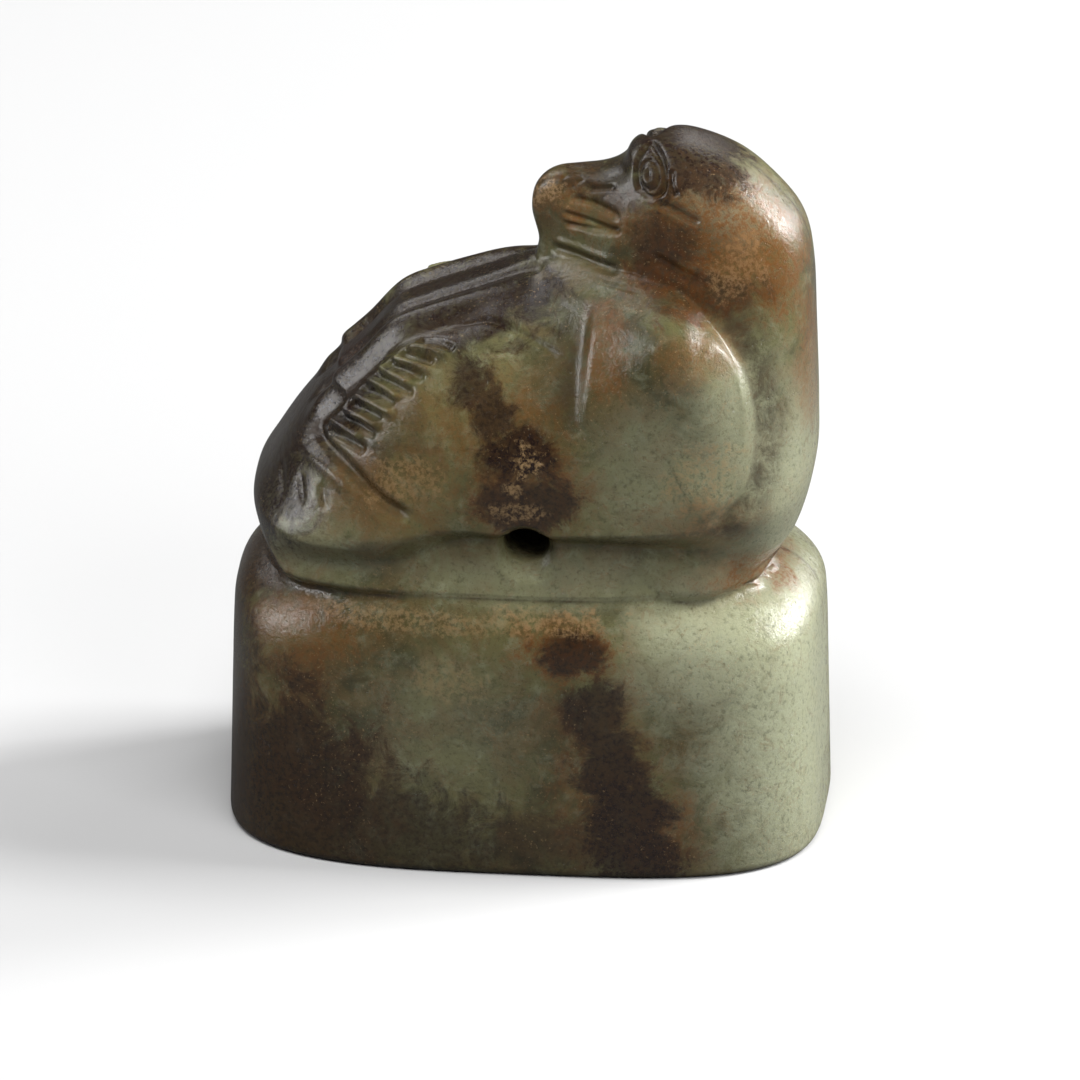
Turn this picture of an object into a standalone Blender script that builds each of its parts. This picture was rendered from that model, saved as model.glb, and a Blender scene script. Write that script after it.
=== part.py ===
"""A carved nephrite seal: a rounded block with a resting bird on top, its head turned back.

The seal is one piece of stone, so it is one solid. The seal face lies on z = 0. The breast
of the bird points to +X and its tail to -X, and both sides of the plane y = 0 are alike.
The side that faces -Y is worked out first, as a depth at each point of the side view, then
carved along lines that lie on it, and the mirrored half completes it.
"""

import math

import bmesh
import bpy
import numpy as np
from mathutils import Matrix

MM = 0.001

# Block with the seal face; a pair gives the tail's end first and then the breast's
BASE_LENGTH = 34.2 * MM
BASE_DEPTH = 22.0 * MM
BASE_HEIGHT = 17.0 * MM
BASE_SQUARENESS = (3.2, 3.5)
BASE_DRAFT = 0.3 * MM
SHOULDER_HEIGHT = 3.8 * MM
SHOULDER_END = 5.1 * MM
SHOULDER_FRONT = 2.3 * MM
SHOULDER_SQUARENESS = 2.3
TOP_PLAN_HEIGHT = 6.0 * MM
FACE_EDGE_RADIUS = 0.5 * MM
GROOVE_DEPTH = 0.17
GROOVE_WIDTH = 0.22
GROOVE_BLEND = 1.6
GROOVE_BLEND_HEIGHT = 0.7 * MM

# Bird, drawn in millimetres and scaled to these sizes
BIRD_LENGTH = 32.4 * MM
BIRD_HEIGHT = 25.0 * MM
BIRD_DEPTH = 20.0 * MM
DRAWN_LENGTH = 32.4
DRAWN_HEIGHT = 25.0
DRAWN_DEPTH = 20.0

# Cord hole, drilled from side to side above the groove, with its lower rim worn
HOLE_DIAMETER = 2.65 * MM
HOLE_ALONG = 0.6 * MM
HOLE_ABOVE_GROOVE = 3.05 * MM
HOLE_WEAR_RADIUS = 2.1
HOLE_WEAR_DEPTH = 0.45
HOLE_WEAR_BELOW = 0.35
HOLE_SIDES = 20

# Strokes cut into the seal face, in rows and columns
STROKE_ROWS = 4
STROKE_COLUMNS = 8
STROKE_WIDTH = 0.8 * MM
STROKE_LENGTH = 2.9 * MM
STROKE_DEPTH = 0.35 * MM
SHORT_STROKE_SHARE = 0.6
STROKE_FIELD_LENGTH = 24.0 * MM
STROKE_FIELD_DEPTH = 15.0 * MM

# Side view of the bird, (along, above the groove)
BACK = [
    (-13.6, -2.2), (-14.8, 0.0), (-15.5, 1.5), (-15.75, 3.1), (-14.8, 4.9), (-13.6, 6.8),
    (-12.2, 8.6), (-11.2, 9.7), (-11.0, 10.4), (-10.3, 11.1), (-9.4, 12.0), (-7.6, 14.0),
    (-5.4, 15.05), (-2.7, 16.1), (0.3, 17.4)]
HEAD_AND_BREAST = [
    (0.3, 17.4), (0.5, 18.5), (0.1, 20.3), (0.4, 21.8), (1.6, 22.75), (4.2, 23.05),
    (5.3, 23.55), (5.85, 24.4), (7.0, 24.85), (9.0, 25.0), (12.0, 23.9), (14.25, 22.0),
    (15.7, 20.0), (16.25, 17.4), (16.4, 13.0), (16.5, 8.0), (16.4, 5.0), (15.6, 2.0),
    (14.3, 0.0), (13.2, -2.2)]
CROWN = (9.0, 25.0)

# Line that the rows of the mesh bend through, from the groove to the crown
CORE = [(0.0, 0.0), (-1.0, 3.5), (2.5, 9.5), (7.5, 15.0), (9.0, 19.5), CROWN]

# Where the body would end under the head and beside the breast
WING_END = [
    (0.3, 17.6), (3.0, 18.3), (6.0, 18.7), (8.6, 18.3), (10.8, 17.0), (12.7, 14.8),
    (14.0, 12.0), (14.6, 9.0), (14.5, 6.5), (14.2, 4.0), (14.0, 0.0), (13.8, -2.2)]

# Half depths: of the body, of head and beak by place along, and what neck and breast add
BODY_DEPTH = 9.95
HEAD_DEPTH = [(0.0, 1.6), (3.0, 2.5), (6.0, 3.9), (9.0, 4.9), (12.5, 5.1), (17.0, 5.1)]
BREAST_SPREAD = [
    (-2.0, 4.3), (3.0, 4.3), (6.0, 4.1), (9.0, 3.7), (12.0, 2.8), (15.0, 1.5), (18.0, 0.4),
    (20.5, 0.0), (26.0, 0.0)]

# How far in from the outline the skin keeps rounding, by height above the groove
BODY_ROUND = [(-2.0, 5.0), (0.5, 6.0), (3.0, 9.0), (6.0, 11.0), (10.0, 12.0), (19.0, 12.0)]
BREAST_ROUND = [(-2.0, 5.0), (1.0, 6.4), (8.0, 8.5), (14.0, 7.5), (19.0, 6.2), (26.0, 6.2)]
TOP_ROUND = 12.0
WING_FRONT_ROUND = 3.6
WING_FRONT_FROM = 4.0
WING_FRONT_FULL = 10.0
BREAST_BLEND = 0.5

# Band above the groove that the cord hole runs through: its top edge and that edge's softness by
# place along, its plan, and the cove that it makes, which flares out again over its foot
BAND_TOP = [
    (-17.0, 3.0), (-8.0, 3.4), (-4.0, 4.2), (0.0, 4.0), (5.0, 4.2), (9.5, 4.5), (17.0, 5.2)]
BAND_SOFTNESS = [(-17.0, 3.0), (-7.0, 2.2), (-2.0, 0.8), (4.0, 1.0), (9.0, 1.9), (13.0, 2.8), (17.0, 3.0)]
BAND_HALF_LENGTHS = (16.2, 15.2)
BAND_HALF_DEPTH = 9.5
BAND_SQUARENESS = (3.2, 2.4)
BAND_KEPT_SHARE = 0.86
COVE_DEPTH = 0.35
COVE_FLARE_HEIGHT = 1.9
FOOT_HEIGHT = 2.2

# Bands along the spine: (half depth, half width, amount, where it fades out towards the head),
# grooves with a negative amount. They all start between two places near the tail.
SPINE_BANDS = [
    (1.5, 0.45, -0.25, (-1.0, 3.2)), (2.8, 0.6, 0.22, (-3.0, 1.5)), (4.35, 0.7, -0.42, (-4.5, -1.5))]
SPINE_START = (-12.8, -11.6)
SPINE_FOOT = 7.0

# Lines carved into the side, as (along, above the groove)
TAIL_CUT = [
    (-12.1, 8.0), (-11.0, 7.6), (-10.0, 7.15), (-9.0, 6.55), (-8.1, 5.9), (-7.0, 5.3), (-5.6, 4.8)]
TAIL_RIDGE = [(-12.8, 6.9), (-11.7, 6.7), (-10.6, 6.4), (-9.7, 5.9), (-8.8, 5.3)]
TAIL_LINES = [
    [(-13.9, 5.6), (-13.6, 4.0)], [(-12.7, 5.9), (-12.3, 4.2)], [(-11.4, 5.9), (-10.9, 4.4)]]
WING_FRONT = [
    (9.6, 4.5), (11.0, 5.0), (12.7, 6.6), (13.3, 8.2), (13.4, 9.8), (13.2, 11.7),
    (12.7, 13.4), (12.0, 14.7), (11.1, 15.8), (10.0, 16.8)]
WING_FOLD = [(4.2, 17.2), (4.0, 16.2), (3.9, 14.8), (3.8, 13.4), (3.8, 11.3), (4.4, 9.3)]
COVERT_LINE = [(-4.4, 14.7), (-2.1, 15.1), (-0.7, 14.9), (0.8, 14.6), (2.7, 14.0)]
NECK_FOLD = [(6.9, 19.6), (8.6, 18.9), (10.3, 18.3), (10.9, 17.9)]
COLLAR = [(1.0, 18.35), (2.5, 18.4), (4.0, 18.3), (5.7, 18.2)]
MANDIBLE = [(2.3, 21.6), (3.6, 21.6), (4.6, 21.4), (5.5, 21.1)]
BEAK_SIDE = [(3.2, 22.2), (4.2, 22.35), (5.2, 22.6)]
MOUTH = [(1.9, 20.75), (3.35, 20.6), (4.6, 20.45), (5.6, 20.45)]
LOWER_BILL = [(1.9, 20.05), (3.4, 20.15), (4.6, 20.25), (5.6, 20.4)]
CHEEK = [(7.5, 22.6), (8.5, 22.4), (9.6, 21.9), (10.3, 21.7)]
BEHIND_EYE = [(8.35, 24.3), (8.45, 23.6), (8.8, 23.0)]

# Feather tufts: each one is a ridge that reaches forward from an edge, between two grooves
FEATHER_EDGE = [
    (-6.2, 13.9), (-7.4, 12.9), (-8.6, 11.8), (-9.5, 10.7), (-10.2, 9.7), (-10.9, 8.9), (-11.3, 8.2)]
FEATHERS = 7
FEATHER_REACH = (2.5, -0.1)
FEATHER_ARCH = 0.12
FEATHER_HALF_WIDTH = 0.3
FEATHER_RIDGE = 0.27
FEATHER_GROOVE = -0.3

# Eye: (share of its half sizes, half width, amount) of each ring around its centre
EYE_CENTRE = (7.12, 23.8)
EYE_HALF_LENGTH = 0.9
EYE_HALF_HEIGHT = 1.05
EYE_RINGS = [(1.0, 0.22, -0.28), (0.35, 0.3, 0.1)]

# Grooves and ridges: (line, half width, amount, share that fades at each end)
CUTS = [
    (TAIL_CUT, 0.38, -0.5, 0.15), (TAIL_RIDGE, 0.45, 0.2, 0.25), (COVERT_LINE, 0.22, -0.16, 0.2),
    (NECK_FOLD, 0.4, -0.22, 0.25), (COLLAR, 0.28, -0.2, 0.15), (MANDIBLE, 0.22, -0.26, 0.15),
    (BEAK_SIDE, 0.22, -0.18, 0.25), (MOUTH, 0.2, -0.24, 0.15), (LOWER_BILL, 0.2, -0.2, 0.15),
    (CHEEK, 0.28, -0.24, 0.15), (BEHIND_EYE, 0.22, -0.22, 0.15)]
CUTS += [(line, 0.3, -0.12, 0.3) for line in TAIL_LINES]

# Steps in the skin: (line, reach, height, softness, share that fades at each end)
STEPS = [
    (TAIL_CUT, 1.4, 0.1, 0.3, 0.1), (WING_FRONT, 2.6, 0.4, 0.8, 0.15),
    (WING_FOLD, 2.6, 0.3, 0.45, 0.3)]

# Half depth below which the carving dies away, so that both sides meet in one clean line, and the
# height that it starts from
THIN_DEPTH = 0.8
CARVED_FROM = -0.6

# Fineness of the mesh
BASE_ROWS = 36
BIRD_ROWS = 190
HALF_COLUMNS = 70
KEPT_SHARE = 0.069

STONE_COLOUR = (0.23, 0.24, 0.13, 1.0)
STONE_ROUGHNESS = 0.3


def smooth_curve(points, steps=12):
    """Return points on a Catmull-Rom curve that passes through the given ones."""
    inner = np.asarray(points, float)
    first = 2 * inner[0] - inner[1]
    last = 2 * inner[-1] - inner[-2]
    ends = np.vstack([first, inner, last])
    t = np.linspace(0, 1, steps, endpoint=False)[:, None]
    spans = []
    for a, b, c, d in zip(ends, ends[1:], ends[2:], ends[3:]):
        bend = (2 * a - 5 * b + 4 * c - d) * t**2 + (3 * b - a - 3 * c + d) * t**3
        spans.append(0.5 * (2 * b + (c - a) * t + bend))
    return np.vstack(spans + [inner[-1:]])


def at_shares(curve, shares):
    """Return the points at the given shares of a curve's length."""
    steps = np.linalg.norm(np.diff(curve, axis=0), axis=1)
    lengths = np.concatenate([[0], np.cumsum(steps)])
    wanted = np.asarray(shares) * lengths[-1]
    return np.stack([np.interp(wanted, lengths, curve[:, i]) for i in range(curve.shape[1])], 1)


def look_up(value, table):
    """Read a smooth curve through a table of (place, amount)."""
    curve = smooth_curve(table)
    return np.interp(value, curve[:, 0], curve[:, 1])


def rise(value, low, high):
    """Climb smoothly from 0 at low to 1 at high."""
    t = np.clip((value - low) / (high - low), 0, 1)
    return t * t * (3 - 2 * t)


def rounded(share, power=2.6):
    """Return the height of a rounded edge, 0 at its rim and 1 from share 1 inwards."""
    t = np.clip(share, 0, 1)
    return (1 - (1 - t) ** power) ** (1 / power)


def beside(points, line):
    """Return each point's distance to a line, which side it is on, and its share along."""
    steps = np.linalg.norm(np.diff(line, axis=0), axis=1)
    starts = np.concatenate([[0], np.cumsum(steps)])
    nearest = np.full(len(points), np.inf)
    side = np.ones(len(points))
    place = np.zeros(len(points))
    for index, (a, b) in enumerate(zip(line, line[1:])):
        along = b - a
        share = np.clip((points - a) @ along / (along @ along), 0, 1)
        gap = points - a - share[:, None] * along
        square = np.einsum("ij,ij->i", gap, gap)
        closer = square < nearest
        nearest[closer] = square[closer]
        turn = along[0] * gap[:, -1] - along[-1] * gap[:, 0]
        side[closer] = np.sign(turn)[closer]
        place[closer] = (starts[index] + share * steps[index])[closer]
    return np.sqrt(nearest), side, place / starts[-1]


def inside(points, line):
    """Say which points a closed line of segments surrounds."""
    x, z = points[:, 0], points[:, 1]
    odd = np.zeros(len(points), bool)
    for (ax, az), (bx, bz) in zip(line, np.roll(line, -1, axis=0)):
        if az != bz:
            odd ^= ((az > z) != (bz > z)) & (x < ax + (bx - ax) * (z - az) / (bz - az))
    return odd


def blended_top(a, b, width):
    """Return the higher of two depths, with the crease between them softened."""
    soft = width * np.clip(np.maximum(a, b) / 2, 0.001, 1)
    near = np.clip(1 - np.abs(a - b) / soft, 0, 1)
    return np.maximum(a, b) + soft * near**2 / 4


HEAD_CURVE = smooth_curve(HEAD_AND_BREAST)
CROWN_INDEX = int(np.argmin(np.linalg.norm(HEAD_CURVE - CROWN, axis=1)))
BIRD_LEFT = np.vstack([smooth_curve(BACK)[:-1], HEAD_CURVE[:CROWN_INDEX + 1]])
BIRD_RIGHT = HEAD_CURVE[:CROWN_INDEX - 1:-1]
BIRD_OUTLINE = np.vstack([BIRD_LEFT, BIRD_RIGHT[-2::-1]])
WING_END_LINE = smooth_curve(WING_END)
WING_OUTLINE = np.vstack([smooth_curve(BACK)[:-1], WING_END_LINE])


def base_inset(z, width):
    """Return how far the block's wall stands back at a height, for a shoulder this wide."""
    up = np.clip((z - (BASE_HEIGHT - SHOULDER_HEIGHT)) / SHOULDER_HEIGHT, 0, 1)
    shoulder = width * (1 - np.sqrt(1 - up**2))
    down = np.clip(1 - z / FACE_EDGE_RADIUS, 0, 1)
    edge = FACE_EDGE_RADIUS * (1 - np.sqrt(1 - down**2))
    draft = BASE_DRAFT * np.clip(z / BASE_HEIGHT, 0, 1)
    return shoulder + edge + draft


def by_end(x, pair):
    """Choose from a pair of values: the first at the tail's end, the second at the breast's."""
    return np.where(x < 0, *pair)


def base_half_length(z):
    return BASE_LENGTH / 2 - base_inset(z, SHOULDER_END)


def superellipse(across, squareness):
    """Return a plan's half depth, 1 in the middle and 0 at its ends, where across is 1."""
    return (1 - np.clip(np.abs(across), 0, 1) ** squareness) ** (1 / squareness)


def base_depth(x, z):
    """Return the block's half depth at a point of the side view."""
    half = BASE_DEPTH / 2 - base_inset(z, SHOULDER_FRONT)
    top = rise(z, BASE_HEIGHT - TOP_PLAN_HEIGHT, BASE_HEIGHT)
    squareness = (1 - top) * by_end(x, BASE_SQUARENESS) + top * SHOULDER_SQUARENESS
    wall = half * superellipse(x / base_half_length(z), squareness)
    return np.where(z <= BASE_HEIGHT, wall, 0)


def drawn_depth(points):
    """Return the bird's half depth before carving, all in drawn millimetres."""
    x, up = points.T
    edge = beside(points, BIRD_OUTLINE)[0] * inside(points, BIRD_OUTLINE)
    end = beside(points, WING_END_LINE)[0] * inside(points, WING_OUTLINE)
    wing_front = rise(x, WING_FRONT_FROM, WING_FRONT_FULL)
    end_round = TOP_ROUND + (WING_FRONT_ROUND - TOP_ROUND) * wing_front
    body = BODY_DEPTH * rounded(edge / look_up(up, BODY_ROUND)) * rounded(end / end_round)
    breast = look_up(x, HEAD_DEPTH) + look_up(up, BREAST_SPREAD)
    breast = breast * rounded(edge / look_up(up, BREAST_ROUND))
    depth = blended_top(body, breast, BREAST_BLEND)
    band_edge = look_up(x, BAND_TOP)
    band = 1 - rise(up, band_edge - look_up(x, BAND_SOFTNESS), band_edge + 0.1)
    flare = np.clip(1 - up / COVE_FLARE_HEIGHT, 0, 1) ** 2
    across = x / by_end(x, BAND_HALF_LENGTHS)
    cove = BAND_HALF_DEPTH * superellipse(across, by_end(x, BAND_SQUARENESS))
    cove = np.maximum(cove - COVE_DEPTH * (1 - flare), BAND_KEPT_SHARE * depth)
    depth -= band * np.clip(depth - cove, 0, None)
    wear = np.hypot(x - HOLE_ALONG / MM, up - HOLE_ABOVE_GROOVE / MM + HOLE_WEAR_BELOW)
    depth -= HOLE_WEAR_DEPTH * (1 - rise(wear, 0.5 * HOLE_WEAR_RADIUS, HOLE_WEAR_RADIUS))
    return depth * (1 - np.clip(-up / FOOT_HEIGHT, 0, 1) ** 2)


def to_drawing(x, z):
    """Turn side view places in metres into the bird's drawn millimetres."""
    along = x * DRAWN_LENGTH / BIRD_LENGTH
    return np.stack([along, (z - BASE_HEIGHT) * DRAWN_HEIGHT / BIRD_HEIGHT], 1)


def depth_at(x, z):
    """Return the seal's half depth at points of the side view, with the groove under the bird."""
    block = base_depth(x, z) / MM
    bird = drawn_depth(to_drawing(x, z)) * BIRD_DEPTH / DRAWN_DEPTH / MM
    blend = GROOVE_BLEND * rise(BASE_HEIGHT - z, 0, GROOVE_BLEND_HEIGHT)
    taller = blended_top(block, bird, np.maximum(blend, 0.001))
    groove = GROOVE_DEPTH * np.exp(-((block - bird) / GROOVE_WIDTH) ** 2)
    return (taller - groove * np.clip(taller / 3, 0, 1)) * MM


def on_skin(line, steps=6):
    """Lay a line of the side view on the bird's skin."""
    flat = smooth_curve(line, steps)
    return np.stack([flat[:, 0], -drawn_depth(flat), flat[:, 1]], 1)


def carved_line(points, line, width, amount, fade=0.15):
    """Return a ridge, or with a negative amount a groove, that fades at its line's ends."""
    distance, _, share = beside(points, on_skin(line))
    ends = rise(share, 0, fade) * rise(1 - share, 0, fade)
    return amount * ends * np.exp(-((distance / width) ** 2))


def carved_step(points, line, reach, amount, softness, fade):
    """Return a step: the line's left side stands proud, its right side lies low."""
    distance, side, share = beside(points, on_skin(line))
    ends = rise(share, 0, fade) * rise(1 - share, 0, fade)
    return amount * ends * np.tanh(side * distance / softness) * np.exp(-((distance / reach) ** 1.5))


def eye_ring(share):
    turn = np.linspace(0, 2 * math.pi, 17)
    x = EYE_CENTRE[0] + share * EYE_HALF_LENGTH * np.cos(turn)
    return np.stack([x, EYE_CENTRE[1] + share * EYE_HALF_HEIGHT * np.sin(turn)], 1)


def spine_carving(points):
    """Return the lift of the bands that run along the spine at fixed half depths."""
    x, depth, up = points[:, 0], -points[:, 1], points[:, 2]
    lift = np.zeros(len(points))
    for level, half_width, amount, head_fade in SPINE_BANDS:
        along_back = rise(x, *SPINE_START) * (1 - rise(x, *head_fade)) * (up > SPINE_FOOT)
        lift += amount * along_back * np.exp(-(((depth - level) / half_width) ** 2))
    return lift


def feather_carving(points):
    """Return the lift of the feather tufts, a groove before and after each ridge."""
    places = np.linspace(0, 1, 2 * FEATHERS + 1)
    lift = np.zeros(len(points))
    for index, start in enumerate(at_shares(smooth_curve(FEATHER_EDGE), places)):
        middle = start + np.multiply(FEATHER_REACH, 0.5) + (0, FEATHER_ARCH)
        amount = FEATHER_RIDGE if index % 2 else FEATHER_GROOVE
        line = [start, middle, start + FEATHER_REACH]
        lift += carved_line(points, line, FEATHER_HALF_WIDTH, amount)
    return lift


def carving(points):
    """Return how far the carving lifts (or with minus sinks) the bird's skin, in drawn mm."""
    lift = spine_carving(points) + feather_carving(points)
    for line, half_width, amount, fade in CUTS:
        lift += carved_line(points, line, half_width, amount, fade)
    for line, reach, height, softness, fade in STEPS:
        lift += carved_step(points, line, reach, height, softness, fade)
    for share, half_width, amount in EYE_RINGS:
        lift += carved_line(points, eye_ring(share), half_width, amount, 0.001)
    return lift * np.clip(-points[:, 1] / THIN_DEPTH, 0, 1)


def side_grid():
    """Return the side view's points, one row above another, from tail side to breast side."""
    heights = np.linspace(0, 1, BASE_ROWS, endpoint=False) * BASE_HEIGHT
    heights[1:6] = FACE_EDGE_RADIUS * np.array([0.05, 0.2, 0.45, 0.75, 1.1])
    half = base_half_length(heights)
    shares = np.linspace(0, 1, BIRD_ROWS)
    scale = np.array([BIRD_LENGTH / DRAWN_LENGTH, BIRD_HEIGHT / DRAWN_HEIGHT])
    above = [curve[curve[:, 1] >= 0] for curve in (BIRD_LEFT, BIRD_RIGHT, smooth_curve(CORE))]
    bird = [at_shares(curve, shares) * scale + (0, BASE_HEIGHT) for curve in above]
    left = np.vstack([np.stack([-half, heights], 1), bird[0]])
    right = np.vstack([np.stack([half, heights], 1), bird[1]])
    core = np.vstack([np.stack([0 * half, heights], 1), bird[2]])
    reach = np.sin(np.linspace(0, math.pi / 2, HALF_COLUMNS + 1))[:, None]
    to_left = core[:, None] + (left - core)[:, None] * reach[::-1]
    to_right = core[:, None] + (right - core)[:, None] * reach[1:]
    return np.concatenate([to_left, to_right], axis=1)


def build_half():
    """Make the skin of the side that faces -Y, down to the plane y = 0 all round."""
    grid = side_grid()
    rows, columns = grid.shape[:2]
    flat = grid.reshape(-1, 2)
    depth = depth_at(flat[:, 0], flat[:, 1]).reshape(rows, columns)
    depth[:, [0, -1]] = 0
    bm = bmesh.new()
    bmesh.ops.create_grid(bm, x_segments=columns - 1, y_segments=rows - 1, size=1)
    bm.verts.ensure_lookup_table()
    for index, vert in enumerate(bm.verts):
        row, column = divmod(index, columns)
        vert.co = (grid[row, column, 0], -depth[row, column], grid[row, column, 1])
    bm.normal_update()
    skin = np.array([vert.co for vert in bm.verts])
    bird = np.flatnonzero(skin[:, 2] > BASE_HEIGHT + CARVED_FROM * MM)
    drawn = to_drawing(skin[bird, 0], skin[bird, 2])
    drawn = np.insert(drawn, 1, skin[bird, 1] * DRAWN_DEPTH / BIRD_DEPTH, axis=1)
    lift = carving(drawn) * rise(drawn[:, 2], CARVED_FROM, 0) * MM
    for index, amount in zip(bird, lift):
        vert = bm.verts[index]
        vert.co += vert.normal * float(amount)
    rim = [edge for edge in bm.edges if edge.is_boundary and max(v.co.z for v in edge.verts) < 1e-9]
    for item in bmesh.ops.extrude_edge_only(bm, edges=rim)["geom"]:
        if isinstance(item, bmesh.types.BMVert):
            item.co.y = 0
    bmesh.ops.remove_doubles(bm, verts=bm.verts, dist=1e-7)
    bmesh.ops.recalc_face_normals(bm, faces=bm.faces)
    mesh = bpy.data.meshes.new("jade_seal")
    bm.to_mesh(mesh)
    bm.free()
    return mesh


def add_cutter(name, bm):
    """Make a helper object that only cuts."""
    mesh = bpy.data.meshes.new(name)
    bm.to_mesh(mesh)
    bm.free()
    cutter = bpy.data.objects.new(name, mesh)
    cutter.hide_render = True
    cutter.display_type = "WIRE"
    bpy.context.collection.objects.link(cutter)
    return cutter


def hole_cutter():
    """Make the drill that runs through the seal from side to side."""
    bm = bmesh.new()
    place = Matrix.Translation((HOLE_ALONG, 0, BASE_HEIGHT + HOLE_ABOVE_GROOVE))
    bmesh.ops.create_cone(
        bm, cap_ends=True, segments=HOLE_SIDES, radius1=HOLE_DIAMETER / 2,
        radius2=HOLE_DIAMETER / 2, depth=2 * BASE_DEPTH,
        matrix=place @ Matrix.Rotation(math.pi / 2, 4, "X"))
    return add_cutter("drill", bm)


def stroke_cutter():
    """Make the rows of strokes that are cut into the seal face, every second one shorter."""
    bm = bmesh.new()
    for row in range(STROKE_ROWS):
        y = ((row + 0.5) / STROKE_ROWS - 0.5) * STROKE_FIELD_DEPTH
        for column in range(STROKE_COLUMNS):
            x = ((column + 0.5) / STROKE_COLUMNS - 0.5) * STROKE_FIELD_LENGTH
            length = STROKE_LENGTH * (1 if (row + column) % 2 else SHORT_STROKE_SHARE)
            size = Matrix.Diagonal((STROKE_WIDTH, length, 2 * STROKE_DEPTH, 1))
            bmesh.ops.create_cube(bm, size=1, matrix=Matrix.Translation((x, y, 0)) @ size)
    return add_cutter("strokes", bm)


def jade_material():
    stone = bpy.data.materials.new("nephrite")
    stone.use_nodes = True
    shader = stone.node_tree.nodes["Principled BSDF"]
    shader.inputs["Base Color"].default_value = STONE_COLOUR
    shader.inputs["Roughness"].default_value = STONE_ROUGHNESS
    shader.inputs["Metallic"].default_value = 0
    return stone


def main():
    for item in list(bpy.data.objects):
        bpy.data.objects.remove(item)
    seal = bpy.data.objects.new("jade_seal", build_half())
    bpy.context.collection.objects.link(seal)
    seal.data.materials.append(jade_material())
    fewer = seal.modifiers.new("Fewer facets", "DECIMATE")
    fewer.ratio = KEPT_SHARE
    mirror = seal.modifiers.new("Other side", "MIRROR")
    mirror.use_axis = (False, True, False)
    mirror.merge_threshold = 0.0001
    for cutter in (hole_cutter(), stroke_cutter()):
        cut = seal.modifiers.new(cutter.name, "BOOLEAN")
        cut.operation = "DIFFERENCE"
        cut.object = cutter
    seal.data.shade_smooth()


main()
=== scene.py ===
# %% [markdown]
# # A jade seal with a resting bird
#
# The real seal is one piece of nephrite, a little over 4 cm high. A carver sawed a block, left its
# lower half as a rounded rectangular stamp and cut a bird out of the upper half, with the head
# turned back over the spine. A cord hole runs through it from side to side.
#
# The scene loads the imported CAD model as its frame, makes a finer skin that keeps the same form,
# gives it the stone's colours and polish, and then sets the lights and the camera.

# %% Load the frame
import math

import bmesh
import bpy
import numpy as np
from mathutils import Matrix, Vector


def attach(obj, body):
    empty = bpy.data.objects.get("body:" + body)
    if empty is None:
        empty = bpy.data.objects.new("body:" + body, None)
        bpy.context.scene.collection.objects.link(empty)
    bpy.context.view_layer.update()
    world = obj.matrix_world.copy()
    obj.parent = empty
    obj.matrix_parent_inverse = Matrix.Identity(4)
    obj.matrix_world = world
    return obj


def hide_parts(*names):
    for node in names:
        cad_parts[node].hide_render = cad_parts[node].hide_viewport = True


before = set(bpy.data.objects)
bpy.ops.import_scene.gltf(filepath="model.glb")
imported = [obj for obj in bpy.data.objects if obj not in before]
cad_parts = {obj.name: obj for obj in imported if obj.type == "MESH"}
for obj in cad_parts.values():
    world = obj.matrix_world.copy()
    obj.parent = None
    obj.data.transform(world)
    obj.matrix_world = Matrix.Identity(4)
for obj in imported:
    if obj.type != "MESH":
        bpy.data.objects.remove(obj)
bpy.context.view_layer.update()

# %% [markdown]
# ## The camera
#
# The photograph looks down at the seal by 25 degrees and a little from the breast's side. A very
# long lens from three metres away keeps the lines almost parallel, as a close-up of a small object
# taken from afar does. Setting the camera first means that every later step can be looked at.

# %% Set the camera
LOOK_DOWN = math.radians(25)
LOOK_ROUND = math.radians(5.5)
CAMERA_AWAY = 3.0
SENSOR_WIDTH = 36
PICTURE_PIXELS = 1080
PIXELS_PER_MM = 17.4
SEAL_PIXEL = (530.5, 795)

back = Vector((
    math.sin(LOOK_ROUND) * math.cos(LOOK_DOWN),
    -math.cos(LOOK_ROUND) * math.cos(LOOK_DOWN),
    math.sin(LOOK_DOWN)))
right = Vector((math.cos(LOOK_ROUND), math.sin(LOOK_ROUND), 0))
up = back.cross(right)

lens = bpy.data.cameras.new("long_lens")
lens.sensor_width = SENSOR_WIDTH
lens.lens = SENSOR_WIDTH * CAMERA_AWAY / (PICTURE_PIXELS / 1000 / PIXELS_PER_MM)
lens.clip_start = 0.05
lens.clip_end = 20
camera = bpy.data.objects.new("camera", lens)
bpy.context.scene.collection.objects.link(camera)
half_picture = PICTURE_PIXELS / 2
aim = right * (half_picture - SEAL_PIXEL[0]) + up * (SEAL_PIXEL[1] - half_picture)
aim = aim / PIXELS_PER_MM / 1000
camera.matrix_world = Matrix.Translation(aim + back * CAMERA_AWAY) @ Matrix((
    (right.x, up.x, back.x, 0), (right.y, up.y, back.y, 0), (right.z, up.z, back.z, 0),
    (0, 0, 0, 1)))
bpy.context.scene.camera = camera
print("lens of", round(lens.lens), "mm")

# %% [markdown]
# ## Curves and softened shapes
#
# Carved stone has no sharp corners left: every line is a smooth curve and every edge is worn
# round. These small helpers draw smooth curves through a few points, measure how far a point lies
# from a curve, and turn that distance into a rounded edge.

# %% Helpers for curves
MM = 0.001


def smooth_curve(points, steps=12):
    """Return points on a Catmull-Rom curve that passes through the given ones."""
    inner = np.asarray(points, float)
    ends = np.vstack([2 * inner[0] - inner[1], inner, 2 * inner[-1] - inner[-2]])
    t = np.linspace(0, 1, steps, endpoint=False)[:, None]
    spans = []
    for a, b, c, d in zip(ends, ends[1:], ends[2:], ends[3:]):
        bend = (2 * a - 5 * b + 4 * c - d) * t**2 + (3 * b - a - 3 * c + d) * t**3
        spans.append(0.5 * (2 * b + (c - a) * t + bend))
    return np.vstack(spans + [inner[-1:]])


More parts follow.
